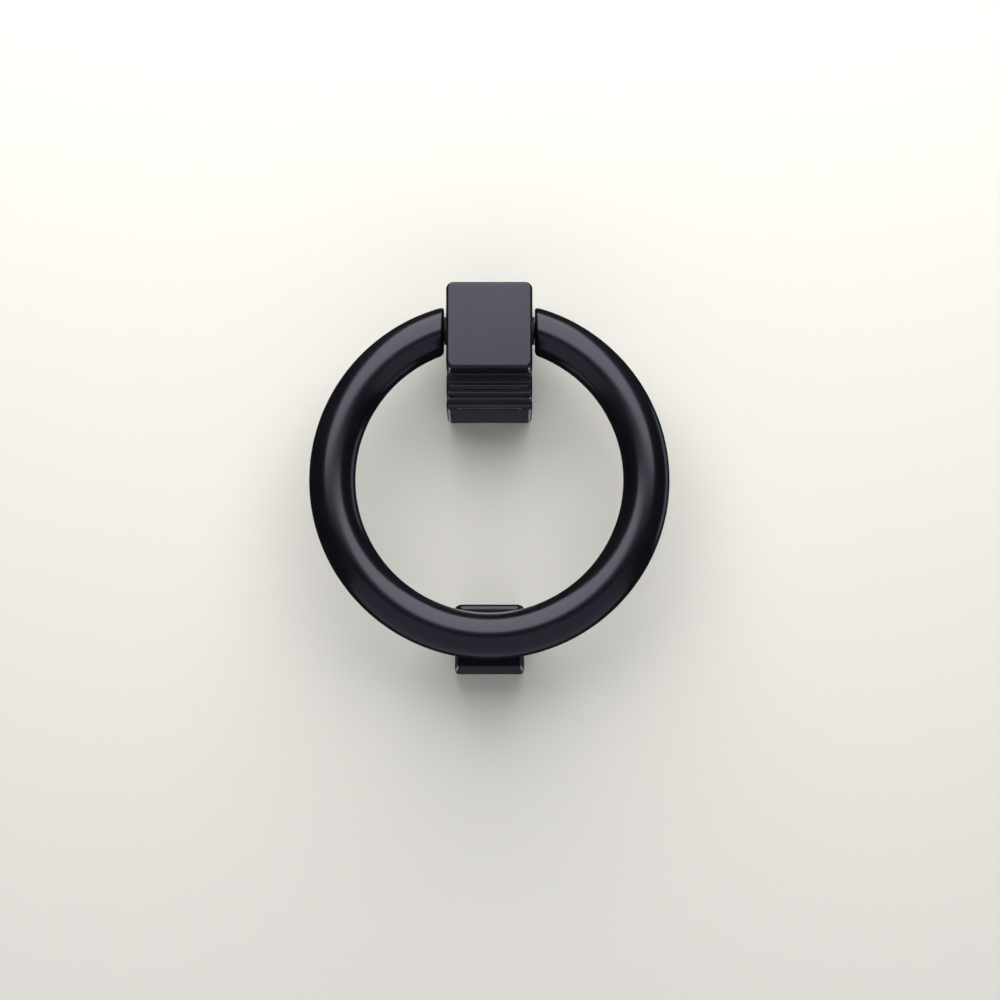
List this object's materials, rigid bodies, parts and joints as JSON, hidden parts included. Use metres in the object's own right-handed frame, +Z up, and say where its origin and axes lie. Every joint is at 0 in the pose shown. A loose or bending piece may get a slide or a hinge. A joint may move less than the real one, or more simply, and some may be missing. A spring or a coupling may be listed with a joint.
{
  "type": "door knocker",
  "caption": "Black ring knocker: a thick ring swings on pins in a square head over a plinth of two reeded tiers and raps on a tapered striking block, with through-door studs and cap nuts.",
  "frame": {"origin": "centre of the hinge block's back face, on the plane of the door's outer face", "axes": "+Z up the door, +Y into the door (the knocker stands out towards -Y), +X to the right of a person facing the door"},
  "size_m": [0.105, 0.0948, 0.1115],
  "materials": {
    "satin_black": "satin black coating, faintly bluish",
    "zinc_steel": "bright zinc-plated steel",
    "black_oxide": "black-oxide steel",
    "black_nylon": "moulded black nylon"
  },
  "bodies": {
    "mounting": {"hinge_block": "satin_black", "hinge_bush_left": "black_nylon", "hinge_bush_right": "black_nylon", "block_stud": "zinc_steel", "block_washer": "zinc_steel", "block_spring_washer": "zinc_steel", "block_cap_nut": "zinc_steel", "block_locating_peg": "zinc_steel", "strike_block": "satin_black", "strike_stud": "zinc_steel", "strike_washer": "zinc_steel", "strike_spring_washer": "zinc_steel", "strike_cap_nut": "zinc_steel", "strike_locating_peg": "zinc_steel"},
    "swinging_ring": {"ring": "satin_black", "pivot_pin_left": "black_oxide", "pivot_pin_right": "black_oxide", "pin_grub_screw_left": "black_oxide", "pin_grub_screw_right": "black_oxide"}
  },
  "joints": [
    {"name": "ring_hinge", "type": "hinge", "parent": "mounting", "child": "swinging_ring", "pos_m": [0, -0.025, 0.00575], "axis": [-1, 0, 0], "range_deg": [0, 190]}
  ]
}
